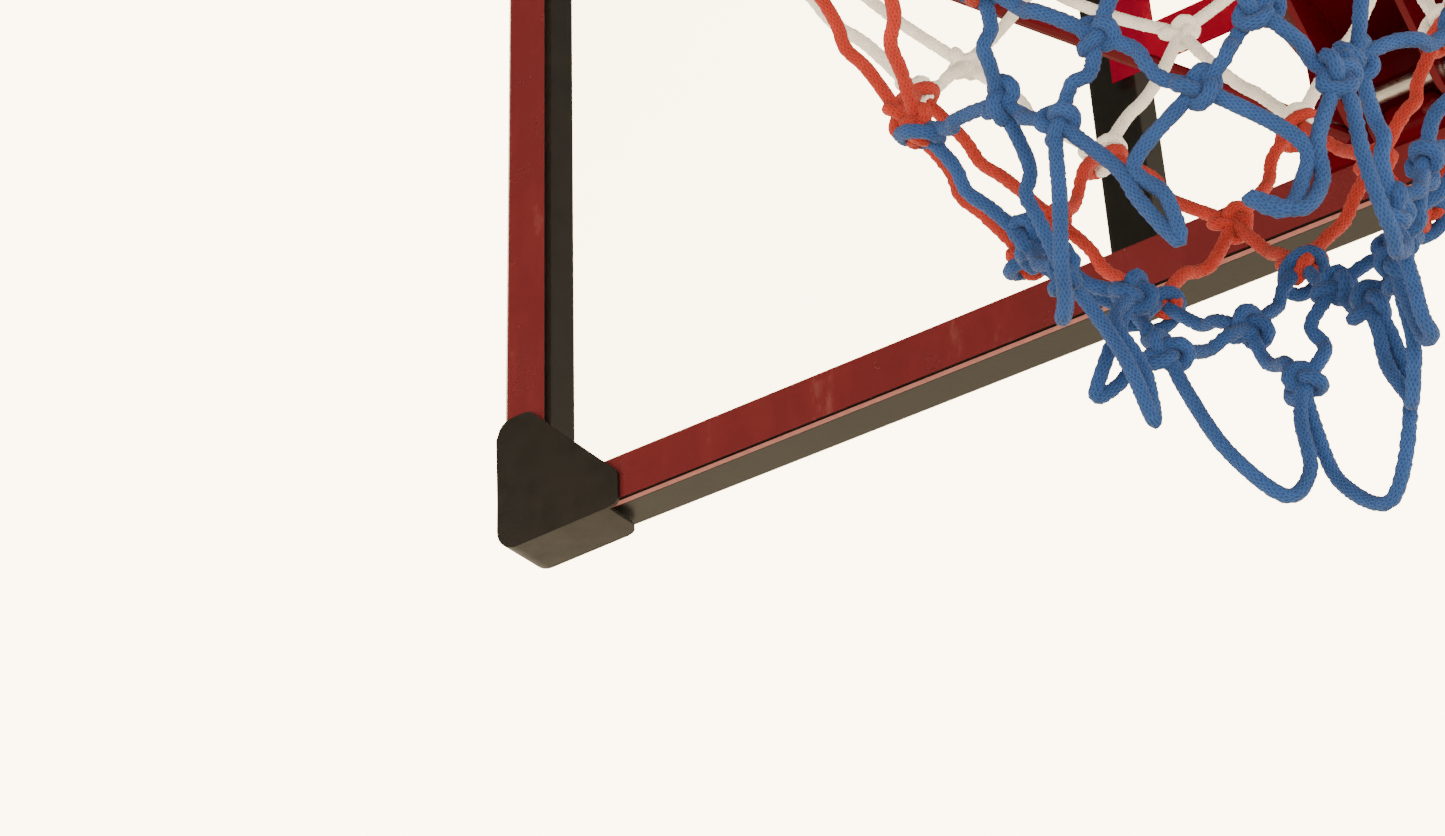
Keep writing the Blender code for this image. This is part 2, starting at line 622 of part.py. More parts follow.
def make_spring_set():
    """Two studs on the base carry springs that hold the hoop's carrier against it."""
    forward = Vector((0, -1, 0))
    web_front = BASE_FRONT - GAP - CARRIER_T
    for name, side in (("left", -1), ("right", 1)):
        root = Vector((side * STUD_X, BASE_FRONT - GAP, Z_BASE + STUD_Z))
        stud = bmesh.new()
        shape = [(0, STUD_R), (STUD_LEN, STUD_R), (STUD_LEN + 0.001, STUD_R - 0.001)]
        add_turned(stud, root, forward, shape, 16)
        add_object(f"{name}_spring_stud", stud, ZINC, smooth=True)
        start = Vector((side * STUD_X, web_front - GAP, Z_BASE + STUD_Z))
        spring = bmesh.new()
        add_spring(spring, start, forward)
        add_object(f"{name}_release_spring", spring, ZINC, smooth=True)
        nut_object(f"{name}_spring_nut", start + forward * (SPRING_LEN + GAP), forward, STUD_R + 0.0004,
                   0.0112, 0.0078, 0.009)


def add_spring(mesh, start, direction, per_turn=12, sides=6):
    """Compression spring: a helix with its wire centres one wire radius inside both ends."""
    place = frame_along(start, direction)
    turn = place.to_3x3()
    steps = SPRING_TURNS * per_turn
    travel = SPRING_LEN - 2 * SPRING_WIRE_R

    def centre(k):
        angle = 2 * math.pi * k / per_turn
        height = SPRING_WIRE_R + 0.0004 + (travel - 0.0008) * k / steps
        return Vector((SPRING_R * math.cos(angle), SPRING_R * math.sin(angle), height))

    rings = []
    for k in range(steps + 1):
        here = centre(k)
        along = (centre(k + 1) - centre(k - 1)).normalized()
        out = Vector((here.x, here.y, 0)).normalized()
        up = along.cross(out)
        rings.append(round_section(mesh, place @ here, SPRING_WIRE_R, turn @ out, turn @ up, sides))
    skin(mesh, rings)


# ---------------------------------------------------------------- hoop, tips on the pivot
def ring_centre():
    return Vector((0, Y_SHEET + RING_DY, Z_BASE + RING_Z))


def carrier_side_outline():
    """Cheek plate in the Y-Z plane, measured from the pivot: a heel round the pin, then a long nose."""
    heel = [(0.0148, 0.004), (0.0148, 0.0), (0.0120, -0.0080), (0.0060, -0.0190), (0.0, -0.0225),
            (-0.016, -0.0225)]
    web_top = WEB_Z1 - PIVOT_Z - 0.002
    level = RING_Z - PIVOT_Z
    nose = [(-0.102, level - 0.012), (-0.108, level), (-0.062, level), (0.006, web_top), (0.0148, web_top)]
    return heel + nose


def make_carrier():
    """Folded carrier: back web, ring shelf cut to the ring's arc, and two cheeks that hold the pin."""
    web_back = BASE_FRONT - GAP
    mesh = bmesh.new()
    half = CARRIER_W / 2
    web_front = web_back - CARRIER_T
    add_box(mesh, (-half, web_front, Z_BASE + WEB_Z0), (half, web_back, Z_BASE + WEB_Z1))
    carrier = add_object("hoop_carrier", mesh, RED_STEEL)
    centre = ring_centre()
    reach = RING_R + RING_ROD_R + GAP
    steps = 12
    span = math.asin(half / reach)
    front_edge = [(reach * math.sin(a), centre.y + reach * math.cos(a))
                  for a in [-span + 2 * span * k / steps for k in range(steps + 1)]]
    outline = front_edge + [(half, web_back - 0.001), (-half, web_back - 0.001)]
    mesh = bmesh.new()
    add_prism(mesh, outline, lambda u, v, w: (u, v, centre.z - 0.0025 + w), 0.005)
    boolean(carrier, add_object("carrier_shelf", mesh, RED_STEEL), "UNION")
    for side in (-1, 1):
        mesh = bmesh.new()
        inner = EAR_X + CARRIER_T + GAP
        x = inner if side > 0 else -inner - CARRIER_T
        add_prism(mesh, carrier_side_outline(),
                  lambda u, v, w, x=x: (x + w, PIVOT.y + u, PIVOT.z + v), CARRIER_T)
        cheek = add_object("left_cheek" if side < 0 else "right_cheek", mesh, RED_STEEL)
        boolean(carrier, cheek, "UNION")
    stud_z = Z_BASE + STUD_Z - 0.0005
    studs = [((x, web_back + CUT, stud_z), (x, web_front - CUT, stud_z), STUD_HOLE_R)
             for x in (-STUD_X, STUD_X)]
    boolean(carrier, rod_object("carrier_stud_holes", studs, RED_STEEL))
    wide = EAR_X + 3 * CARRIER_T
    pin = [((-wide, PIVOT.y, PIVOT.z), (wide, PIVOT.y, PIVOT.z), PIVOT_R + 0.0004)]
    boolean(carrier, rod_object("carrier_pin_hole", pin, RED_STEEL, 24))


def make_ring():
    centre = ring_centre()
    profile = [(RING_R + RING_ROD_R * math.cos(math.radians(36 * k)),
                centre.z + RING_ROD_R * math.sin(math.radians(36 * k))) for k in range(10)]
    mesh = bmesh.new()
    add_lathe(mesh, profile, centre, 64)
    ring = add_object("ring", mesh, RED_STEEL, smooth=True)
    boolean(ring, make_hooks(centre), "UNION")


def tube_along(name, points, radius, finish, sides=10):
    """A closed round bar through points."""
    mesh = bmesh.new()
    rings = []
    for k, point in enumerate(points):
        before = points[max(k - 1, 0)]
        after = points[min(k + 1, len(points) - 1)]
        along = (after - before).normalized()
        side = along.cross(Vector((0, 0, 1))).normalized()
        rings.append(round_section(mesh, point, radius, side, side.cross(along), sides))
    skin(mesh, rings)
    return add_object(name, mesh, finish, smooth=True)


def make_braces():
    """Straight bars from the carrier's lower corners to the underside of the ring."""
    centre = ring_centre()
    foot_x = EAR_X + 2 * CARRIER_T + 2 * GAP + BRACE_R + 0.0006
    for name, side in (("left_brace", -1), ("right_brace", 1)):
        foot = Vector((side * foot_x, PIVOT.y + 0.003, PIVOT.z - 0.0165))
        reach = RING_R - 0.001
        tip = Vector((side * reach * math.sin(BRACE_ANGLE), centre.y + reach * math.cos(BRACE_ANGLE),
                      centre.z - RING_ROD_R - BRACE_R - 0.0006))
        tube_along(name, [foot.lerp(tip, t) for t in (0.0, 0.34, 0.67, 1.0)], BRACE_R, RED_STEEL, 12)


def make_hooks(centre):
    """Bent wire loops welded under the ring, which the net's top cords pass through."""
    mesh = bmesh.new()
    sides = 6
    steps = 8
    for n in range(HOOK_COUNT):
        angle = FIRST_HOOK + 2 * math.pi * n / HOOK_COUNT
        out = Vector((math.cos(angle), math.sin(angle), 0))
        along = Vector((-out.y, out.x, 0))
        top = centre + out * (RING_R - 0.003) - Vector((0, 0, RING_ROD_R - 0.0015))
        path = [top + along * (0.009 * math.cos(a)) - Vector((0, 0, HOOK_DROP * math.sin(a)))
                for a in [math.pi * k / steps for k in range(steps + 1)]]
        rings = []
        for k, point in enumerate(path):
            tangent = (path[min(k + 1, steps)] - path[max(k - 1, 0)]).normalized()
            rings.append(round_section(mesh, point, HOOK_ROD_R, out, tangent.cross(out), sides))
        skin(mesh, rings)
    return add_object("ring_hooks", mesh, RED_STEEL)


def make_net():
    centre = ring_centre()
    finishes = {"net_white": CORD_WHITE, "net_red": CORD_RED, "net_blue": CORD_BLUE}
    for name, stations in NET_PROFILE.items():
        outer = [(radius, Z_BASE + height) for height, radius in stations]
        inner = [(radius - NET_T, Z_BASE + height) for height, radius in reversed(stations)]
        mesh = bmesh.new()
        add_lathe(mesh, outer + inner, centre, NET_SIDES)
        add_object(name, mesh, finishes[name], smooth=True)


def main():
    clear_scene()
    make_sheet()
    make_lines()
    make_tape()
    make_frame()
    make_centre_channel()
    make_pole_bracket()
    for side, side_name in ((-1, "left"), (1, "right")):
        for top, end_name in ((False, "bottom"), (True, "top")):
            make_cap(f"{end_name}_{side_name}_cap", side, top)
            make_cap_screw(f"{end_name}_{side_name}_cap_screw", side, top)
    make_hoop_base()
    make_hoop_bolts()
    make_pivot()
    make_spring_set()
    make_carrier()
    make_ring()
    make_braces()
    make_net()


main()
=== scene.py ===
"""Looks of the basketball backboard and hoop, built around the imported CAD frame.

Lengths are in metres, in the CAD's own frame: +Z up, the board faces -Y, +X runs along it.
"""

import json
import math

import bmesh
import bpy
import numpy as np
from mathutils import Matrix, Vector


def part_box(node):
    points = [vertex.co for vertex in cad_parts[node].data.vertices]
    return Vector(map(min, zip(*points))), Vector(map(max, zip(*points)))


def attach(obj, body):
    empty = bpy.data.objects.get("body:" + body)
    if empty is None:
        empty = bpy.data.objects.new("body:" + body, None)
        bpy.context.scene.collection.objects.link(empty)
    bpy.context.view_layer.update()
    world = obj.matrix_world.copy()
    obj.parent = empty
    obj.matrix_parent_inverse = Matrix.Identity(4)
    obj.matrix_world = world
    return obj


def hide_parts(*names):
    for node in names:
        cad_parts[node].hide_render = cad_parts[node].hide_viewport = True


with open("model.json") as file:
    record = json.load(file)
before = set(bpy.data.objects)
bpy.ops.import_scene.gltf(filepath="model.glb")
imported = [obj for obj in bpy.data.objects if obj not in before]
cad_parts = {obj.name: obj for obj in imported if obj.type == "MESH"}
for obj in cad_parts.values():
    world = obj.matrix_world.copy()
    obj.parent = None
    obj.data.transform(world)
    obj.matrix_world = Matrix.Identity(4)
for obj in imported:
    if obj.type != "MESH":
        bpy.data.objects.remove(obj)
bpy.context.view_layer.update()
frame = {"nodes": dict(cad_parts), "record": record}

rng = np.random.default_rng(54)

# ---------------------------------------------------------------- places, from the frame
RING_ROD_R = 0.008
LINES_ACROSS = 40.96                    # the sheet's width, in widths of its border line
BORDER_LOW = Vector(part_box("border_line")[0])
SHEET_LOW, SHEET_HIGH = (Vector(v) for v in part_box("backboard_sheet"))
RING_LOW, RING_HIGH = (Vector(v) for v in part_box("ring"))
LINE_W = (SHEET_HIGH.x - SHEET_LOW.x) / LINES_ACROSS
RING_R = (RING_HIGH.x - RING_LOW.x) / 2 - RING_ROD_R
RING_CENTRE = Vector((0, (RING_LOW.y + RING_HIGH.y) / 2, RING_HIGH.z - RING_ROD_R))
SHEET_BASE = SHEET_LOW.z

# ---------------------------------------------------------------- net layout
CORD_R = 0.0034
LOOPS = 10
FIRST_LOOP = 18.0          # azimuth of the first hook, degrees
TIP_UP = 0.025             # the net's front hangs this much higher than its middle, and its back lower
SWAY = Vector((0.018, 0.006, 0))
TWIST = 12                 # the net's lower rows are turned this far, in degrees,
TWIST_SWING = 13           # give or take this much round the net,
TWIST_TURN = 40            # with the greatest turn this far short of azimuth 0
# knot rows: height above the sheet's bottom edge, radius, share of the sway, tip and twist reached there
ROWS = (
    (0.0895, RING_R - 0.003, 0.00),
    (0.0150, 0.2020, 0.25),
    (-0.0700, 0.1690, 0.65),
    (-0.1350, 0.1440, 1.00),
    (-0.1900, 0.1200, 1.00),
    (-0.2320, 0.0890, 1.00),
    (-0.2680, 0.0740, 1.00),
)
SCALLOP_DROP = 0.054
KNOT_SIZE = 0.0029
KNOT_LEAN = 0.22           # spread of the way a knot faces, as a share of its outward direction
KNOT_NUDGE = Vector((0.0035, 0.0035, 0.0045))
STRAND_SLACK = 0.0035
STRAND_WANDER = 0.0022
STRAND_BOW = 0.003
# How far single knots of the last row hang away from the even layout. A calculation outside this script
# gave these from shifts seen in the camera's view. They are rounded to a millimetre.
LAST_KNOT_HANG = {
    1: (0.010, 0.001, 0.008),
    2: (-0.001, 0.006, -0.010),
    3: (-0.007, -0.020, 0.020),
    4: (0.021, -0.001, 0.020),
    5: (0.003, 0.011, -0.012),
    6: (-0.003, -0.013, 0.014),
    7: (0.004, 0.001, 0.003),
    8: (0.013, -0.002, 0.015),
}
# bottom loops that hang their own way: places below the middle of their two knots, and the gap
# between the loop's two cords at each; a gap of zero closes the loop's end
SCALLOP_HANG = {
    1: (((0.004, 0.002, -0.020), 0.052), ((0.008, 0.004, -0.052), 0.046), ((0.010, 0.006, -0.080), 0.0)),
    2: (((0.002, 0.000, -0.022), 0.050), ((0.008, 0.003, -0.050), 0.036), ((0.012, 0.005, -0.068), 0.0)),
    3: (((-0.010, -0.004, -0.010), 0.018), ((-0.018, -0.008, -0.024), 0.012),
        ((-0.026, -0.010, -0.034), 0.0)),
    4: (((0.000, 0.002, -0.018), 0.012), ((0.010, 0.004, -0.046), 0.010), ((0.014, 0.006, -0.074), 0.0)),
    6: (((-0.006, 0.004, -0.026), 0.008), ((0.003, 0.006, -0.046), 0.011), ((0.010, 0.010, -0.068), 0.0)),
    7: (((0.010, 0.007, -0.030), 0.008), ((0.008, 0.008, -0.050), 0.008), ((0.000, 0.002, -0.064), 0.007),
        ((-0.014, -0.006, -0.056), 0.0)),
}


# ---------------------------------------------------------------- material helpers
class Graph:
    """A material's node tree with its Principled shader, and short calls to add nodes."""

    def __init__(self, name):
        self.mat = bpy.data.materials.new(name)
        self.mat.use_nodes = True
        self.tree = self.mat.node_tree
        self.shader = self.tree.nodes["Principled BSDF"]
        self.output = self.tree.nodes["Material Output"]

    def node(self, kind, **values):
        item = self.tree.nodes.new(kind)
        for key, value in values.items():
            setattr(item, key, value)
        return item

    def link(self, a, b):
        self.tree.links.new(a, b)

    def set(self, **values):
        for key, value in values.items():
            self.shader.inputs[key.replace("_", " ")].default_value = value

    def coords(self, kind="Object"):
        return self.node("ShaderNodeTexCoord").outputs[kind]

    def scaled(self, source, scale):
        mapping = self.node("ShaderNodeMapping")
        mapping.inputs["Scale"].default_value = scale
        self.link(source, mapping.inputs["Vector"])
        return mapping.outputs["Vector"]

    def noise(self, source, scale, detail=3.0, roughness=0.55):
        item = self.node("ShaderNodeTexNoise")
        item.inputs["Scale"].default_value = scale
        item.inputs["Detail"].default_value = detail
        item.inputs["Roughness"].default_value = roughness
        self.link(source, item.inputs["Vector"])
        return item.outputs["Fac"]

    def ramp(self, source, stops):
        item = self.node("ShaderNodeValToRGB")
        item.color_ramp.elements[0].position = stops[0][0]
        item.color_ramp.elements[0].color = stops[0][1]
        item.color_ramp.elements[1].position = stops[-1][0]
        item.color_ramp.elements[1].color = stops[-1][1]
        for position, colour in stops[1:-1]:
            item.color_ramp.elements.new(position).color = colour
        self.link(source, item.inputs["Fac"])
        return item.outputs["Color"]

    def span(self, source, low, high, to_low, to_high):
        item = self.node("ShaderNodeMapRange")
        limits = {"From Min": low, "From Max": high, "To Min": to_low, "To Max": to_high}
        for key, value in limits.items():
            item.inputs[key].default_value = value
        self.link(source, item.inputs["Value"])
        return item.outputs["Result"]

    def mix_shaders(self, share, first, second):
        """Output a mix of two shaders; share is a socket or a fixed number."""
        mix = self.node("ShaderNodeMixShader")
        if isinstance(share, float):
            mix.inputs["Fac"].default_value = share
        else:
            self.link(share, mix.inputs["Fac"])
        self.link(first, mix.inputs[1])
        self.link(second, mix.inputs[2])
        self.link(mix.outputs["Shader"], self.output.inputs["Surface"])
        return mix.outputs["Shader"]

    def bump(self, height, strength, distance, before=None):
        item = self.node("ShaderNodeBump")
        item.inputs["Strength"].default_value = strength
        item.inputs["Distance"].default_value = distance
        self.link(height, item.inputs["Height"])
        if before is not None:
            self.link(before, item.inputs["Normal"])
        return item.outputs["Normal"]


def shade(colour, factor):
    """A colour made darker or lighter, with full alpha."""
    return (colour[0] * factor, colour[1] * factor, colour[2] * factor, 1)


def powder_coat(name, colour, rough, spread, peel, coat=0.0, shine=0.5):
    """Sprayed and baked paint: orange-peel ripple, fine speckle and uneven gloss."""
    g = Graph(name)
    at = g.coords()
    dark, light = shade(colour, 1 - spread), shade(colour, 1 + spread)
    tone = g.ramp(g.noise(at, scale=9.0, detail=4.0), ((0.3, dark), (0.7, light)))
    g.link(tone, g.shader.inputs["Base Color"])
    gloss = g.span(g.noise(at, scale=38.0, detail=4.0), 0.3, 0.7, rough - 0.05, rough + 0.07)
    g.link(gloss, g.shader.inputs["Roughness"])
    ripple = g.bump(g.noise(at, scale=420.0, detail=2.0), peel, distance=0.0004)
    speckle = g.bump(g.noise(at, scale=1900.0, detail=1.0), peel * 0.5, 0.0001, before=ripple)
    g.link(speckle, g.shader.inputs["Normal"])
    g.set(Coat_Weight=coat, Coat_Roughness=0.08, IOR=1.5, Specular_IOR_Level=shine)
    return g.mat


def moulded_plastic(name, colour):
    """Black moulding with a fine spark-eroded grain and faint flow marks."""
    g = Graph(name)
    at = g.coords()
    tone = g.ramp(g.noise(at, 22.0, 5.0), ((0.3, shade(colour, 0.85)), (0.72, shade(colour, 1.25))))
    g.link(tone, g.shader.inputs["Base Color"])
    g.link(g.span(g.noise(at, 60.0, 3.0), 0.3, 0.7, 0.44, 0.56), g.shader.inputs["Roughness"])
    grain = g.node("ShaderNodeTexVoronoi")
    grain.inputs["Scale"].default_value = 1500.0
    g.link(at, grain.inputs["Vector"])
    first = g.bump(grain.outputs["Distance"], 0.16, 0.0002)
    g.link(g.bump(g.noise(at, 140.0, 3.0), 0.05, 0.0006, first), g.shader.inputs["Normal"])
    g.set(IOR=1.5)
    return g.mat


def zinc_plate(name):
    """Bright zinc plating: patchy grey with a fine spangle and uneven gloss."""
    g = Graph(name)
    at = g.coords()
    tone = g.ramp(g.noise(at, 90.0, 4.0), ((0.3, (0.42, 0.42, 0.43, 1)), (0.7, (0.66, 0.66, 0.65, 1))))
    g.link(tone, g.shader.inputs["Base Color"])
    g.link(g.span(g.noise(at, 260.0, 3.0), 0.3, 0.7, 0.24, 0.44), g.shader.inputs["Roughness"])
    g.link(g.bump(g.noise(at, 900.0, 2.0), 0.10, 0.0002), g.shader.inputs["Normal"])
    g.set(Metallic=1.0)
    return g.mat


def foam(name):
    """Matt black closed-cell foam with open pores on its cut faces."""
    g = Graph(name)
    at = g.coords()
    pores = g.noise(at, scale=500.0, detail=3.0)
    tone = g.ramp(pores, ((0.3, (0.006, 0.006, 0.006, 1)), (0.7, (0.02, 0.019, 0.018, 1))))
    g.link(tone, g.shader.inputs["Base Color"])
    g.link(g.bump(g.noise(at, 1400.0, 3.0), 0.5, 0.0004), g.shader.inputs["Normal"])
    g.set(Roughness=0.92)
    return g.mat


def clear_plastic(name):
    """Clear polycarbonate: see-through with a faint warm tint and wiped smears showing in its gloss. Its cut
    edges are painted an opaque pinkish red, a painted reflection of the red film seen through the sheet.
    """
    g = Graph(name)
    at = g.coords()
    smear = g.noise(g.scaled(at, (1.6, 1.0, 5.0)), 6.0, 5.0, 0.6)
    through = g.node("ShaderNodeBsdfTransparent")
    g.link(g.ramp(smear, ((0.3, (0.985, 0.982, 0.972, 1)), (0.7, (0.975, 0.972, 0.960, 1)))),
           through.inputs["Color"])
    gloss = g.node("ShaderNodeBsdfGlossy")
    g.link(g.span(smear, 0.45, 0.75, 0.03, 0.14), gloss.inputs["Roughness"])
    g.link(g.bump(g.noise(at, 5.0, 1.0), 0.05, 0.002), gloss.inputs["Normal"])
    slant = g.node("ShaderNodeLayerWeight")
    slant.inputs["Blend"].default_value = 0.5
    mirror = g.ramp(slant.outputs["Facing"], ((0.0, (0.04, 0.04, 0.04, 1)), (0.35, (0.06, 0.06, 0.06, 1)),
                                              (0.7, (0.22, 0.22, 0.22, 1)), (1.0, (1, 1, 1, 1))))
    pane = g.mix_shaders(mirror, through.outputs["BSDF"], gloss.outputs["BSDF"])
    faces = g.node("ShaderNodeSeparateXYZ")
    g.link(g.coords("Normal"), faces.inputs["Vector"])
    facing_y = g.node("ShaderNodeMath", operation="ABSOLUTE")
    g.link(faces.outputs["Y"], facing_y.inputs[0])
    # faces that don't face along Y (the cut edges) get an opaque pinkish red: a painted reflection of the red
    # film seen through the sheet
    edge_painted_film_reflection = g.span(facing_y.outputs["Value"], 0.2, 0.8, 0.85, 0.0)
    g.link(g.ramp(g.noise(at, 240.0, 3.0), ((0.3, (0.30, 0.085, 0.085, 1)), (0.7, (0.38, 0.12, 0.12, 1)))),
           g.shader.inputs["Base Color"])
    g.set(Roughness=0.4)
    g.mix_shaders(edge_painted_film_reflection, pane, g.shader.outputs["BSDF"])
    return g.mat


def printed_line(name, colour, tint, cover):
    """Translucent printed film: paint over a share of clear tint, with lighter wisps in its colour that are
    painted reflection smears.
    """
    g = Graph(name)
    at = g.coords()
    painted_reflection_wisps = g.noise(g.scaled(at, (9.0, 1.0, 3.5)), 4.0, 6.0, 0.62)
    # the lighter pinkish wisps blended into the film's colour are painted reflection smears, not marks on the
    # print
    tone = g.ramp(painted_reflection_wisps, ((0.46, shade(colour, 1.0)), (0.62, shade(colour, 1.12)),
                          (0.80, (colour[0] * 1.5 + 0.05, colour[1] + 0.07, colour[2] + 0.06, 1))))
    g.link(tone, g.shader.inputs["Base Color"])
    g.link(g.span(g.noise(at, 30.0, 4.0), 0.3, 0.7, 0.16, 0.30), g.shader.inputs["Roughness"])
    g.link(g.bump(g.noise(at, 300.0, 2.0), 0.03, 0.0003), g.shader.inputs["Normal"])
    g.set(IOR=1.45)
    through = g.node("ShaderNodeBsdfTransparent")
    through.inputs["Color"].default_value = tint
    g.mix_shaders(cover, through.outputs["BSDF"], g.shader.outputs["BSDF"])
    return g.mat


def braided_cord(name, light, dark):
    """Soft braided nylon: crossing plait ribs along the cord, loose fibres, and painted shade darkening the
    creases between the ribs.
    """
    g = Graph(name)
    uv = g.coords("UV")
    at = g.coords()
    ribs = []
    for lean in (1.0, -1.0):
        wave = g.node("ShaderNodeTexWave", wave_type="BANDS", bands_direction="DIAGONAL")
        wave.inputs["Scale"].default_value = 1.0
        wave.inputs["Distortion"].default_value = 1.2
        wave.inputs["Detail"].default_value = 1.0
        g.link(g.scaled(uv, (1.3 * lean, 0.62, 1.0)), wave.inputs["Vector"])
        ribs.append(wave.outputs["Fac"])
    plait = g.node("ShaderNodeMath", operation="MAXIMUM")
    g.link(ribs[0], plait.inputs[0])
    g.link(ribs[1], plait.inputs[1])
    fibre = g.noise(at, 900.0, 4.0, 0.7)
    blotch = g.noise(at, 55.0, 4.0)
    base = g.ramp(blotch, ((0.30, shade(light, 0.82)), (0.70, shade(light, 1.10))))
    # the creases between plait ribs are blended towards the dark colour: painted shade
    painted_crease_shade = g.node("ShaderNodeMix", data_type="RGBA")
    g.link(g.span(plait.outputs["Value"], 0.25, 0.85, 0.55, 0.0), painted_crease_shade.inputs["Factor"])
    g.link(base, painted_crease_shade.inputs["A"])
    painted_crease_shade.inputs["B"].default_value = (*dark, 1)
    g.link(painted_crease_shade.outputs["Result"], g.shader.inputs["Base Color"])
    g.link(g.span(fibre, 0.2, 0.8, 0.74, 0.95), g.shader.inputs["Roughness"])
    ridge = g.bump(plait.outputs["Value"], 0.65, 0.0006)
    g.link(g.bump(fibre, 0.55, 0.0004, ridge), g.shader.inputs["Normal"])
    g.set(Sheen_Weight=0.06, Sheen_Roughness=0.5, Specular_IOR_Level=0.2)
    return g.mat


MATERIALS = {
    "black_steel": powder_coat("satin_black_powder_coat", (0.0026, 0.0021, 0.0015), 0.34, 0.18, 0.10),
    "black_plastic": moulded_plastic("black_moulded_plastic", (0.0050, 0.0041, 0.0030)),
    "red_steel": powder_coat("gloss_red_powder_coat", (0.085, 0.0002, 0.0050), 0.17, 0.10, 0.06,
                             coat=0.10, shine=0.16),
    "clear_sheet": clear_plastic("clear_polycarbonate"),
    "zinc": zinc_plate("zinc_plated_steel"),
    "foam_tape": foam("black_foam_tape"),
    # each cord's second colour is the painted shade of its creases
    "cord_white": braided_cord("white_braided_cord", (0.90, 0.89, 0.88), (0.62, 0.59, 0.56)),
    "cord_red": braided_cord("red_braided_cord", (0.380, 0.0340, 0.0250), (0.180, 0.0080, 0.0060)),
    "cord_blue": braided_cord("blue_braided_cord", (0.0215, 0.0720, 0.255), (0.0045, 0.0140, 0.075)),
}
BORDER_FILM = printed_line("border_line_film", (0.140, 0.0200, 0.0245), (0.16, 0.010, 0.014, 1), 0.80)
TARGET_FILM = printed_line("target_line_film", (0.230, 0.0015, 0.0210), (0.40, 0.0008, 0.030, 1), 0.78)


def finish_node(name, mat):
    """Give a CAD node a better material."""
    mesh = frame["nodes"][name].data
    mesh.materials.clear()
    mesh.materials.append(mat)


def finish_cad():
    """Give every CAD node the material of its slot, and the two printed lines their films."""
    for part in frame["record"]["subparts"]:
        name, slot = part["node"], part["material_slot"]
        if slot in MATERIALS:
            finish_node(name, MATERIALS[slot])
    finish_node("border_line", BORDER_FILM)
    finish_node("target_line", TARGET_FILM)


# ---------------------------------------------------------------- rounded copies of CAD parts
def new_object(name, mesh, mat, body):
    """A new piece with its material and body."""
    item = bpy.data.objects.new(name, mesh)
    bpy.context.scene.collection.objects.link(item)
    mesh.materials.clear()
    mesh.materials.append(mat)
    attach(item, body)
    return item


def rounded_copy(name, node, width, body, segments=3):
    """The CAD part with its flat faces made whole again and its edges eased."""
    slot = next(p["material_slot"] for p in frame["record"]["subparts"] if p["node"] == node)
    work = bmesh.new()
    work.from_mesh(frame["nodes"][node].data)
    bmesh.ops.remove_doubles(work, verts=work.verts, dist=1e-6)
    bmesh.ops.dissolve_limit(work, angle_limit=math.radians(1.0), verts=work.verts, edges=work.edges)
    mesh = bpy.data.meshes.new(name)
    work.to_mesh(mesh)
    work.free()
    mesh.shade_smooth()
    mesh.set_sharp_from_angle(angle=math.radians(50))
    item = new_object(name, mesh, MATERIALS[slot], body)
    bevel = item.modifiers.new("eased_edges", "BEVEL")
    bevel.width = width
    bevel.segments = segments
    bevel.limit_method = "ANGLE"
    bevel.angle_limit = math.radians(38)
    bevel.use_clamp_overlap = True
    bevel.harden_normals = True
    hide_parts(node)
    return item


CAP_EDGE = 0.0011
FOLDED_EDGES = {"hoop_base": 0.0006, "hoop_carrier": 0.0007, "pole_bracket": 0.0009}


def ease_parts():
    """Ease the edges of the moulded caps and of the three folded steel parts."""
    for end in ("bottom", "top"):
        for side in ("left", "right"):
            rounded_copy(f"{end}_{side}_cap_moulding", f"{end}_{side}_cap", CAP_EDGE, "backboard")
    for node, width in FOLDED_EDGES.items():
        body = "hoop" if node == "hoop_carrier" else "backboard"
        rounded_copy(f"{node}_folded", node, width, body, segments=2)


# ---------------------------------------------------------------- cords
CURVE_STEPS = 16           # fine steps between two points of a path, before it is resampled


def smooth_path(points, spacing, closed=False):
    """Catmull-Rom curve through points, resampled at an even spacing."""
    points = np.asarray(points, float)
    count = len(points)
    fine = []
    spans = count if closed else count - 1
    for k in range(spans):
        if closed:
            p0, p1, p2, p3 = (points[(k + d) % count] for d in (-1, 0, 1, 2))
        else:
            p1, p2 = points[k], points[k + 1]
            p0 = points[k - 1] if k > 0 else 2 * p1 - p2
            p3 = points[k + 2] if k + 2 < count else 2 * p2 - p1
        for t in np.linspace(0, 1, CURVE_STEPS, endpoint=False):
            fine.append(0.5 * (2 * p1 + (p2 - p0) * t + (2 * p0 - 5 * p1 + 4 * p2 - p3) * t ** 2
                               + (3 * p1 - p0 - 3 * p2 + p3) * t ** 3))
    fine.append(points[0] if closed else points[-1])
    fine = np.array(fine)
    lengths = np.concatenate([[0], np.cumsum(np.linalg.norm(np.diff(fine, axis=0), axis=1))])
    steps = max(4, int(round(lengths[-1] / spacing)))
    marks = np.linspace(0, lengths[-1], steps + 1)
    even = np.stack([np.interp(marks, lengths, fine[:, axis]) for axis in range(3)], axis=1)
    return (even[:-1], marks[:-1]) if closed else (even, marks)


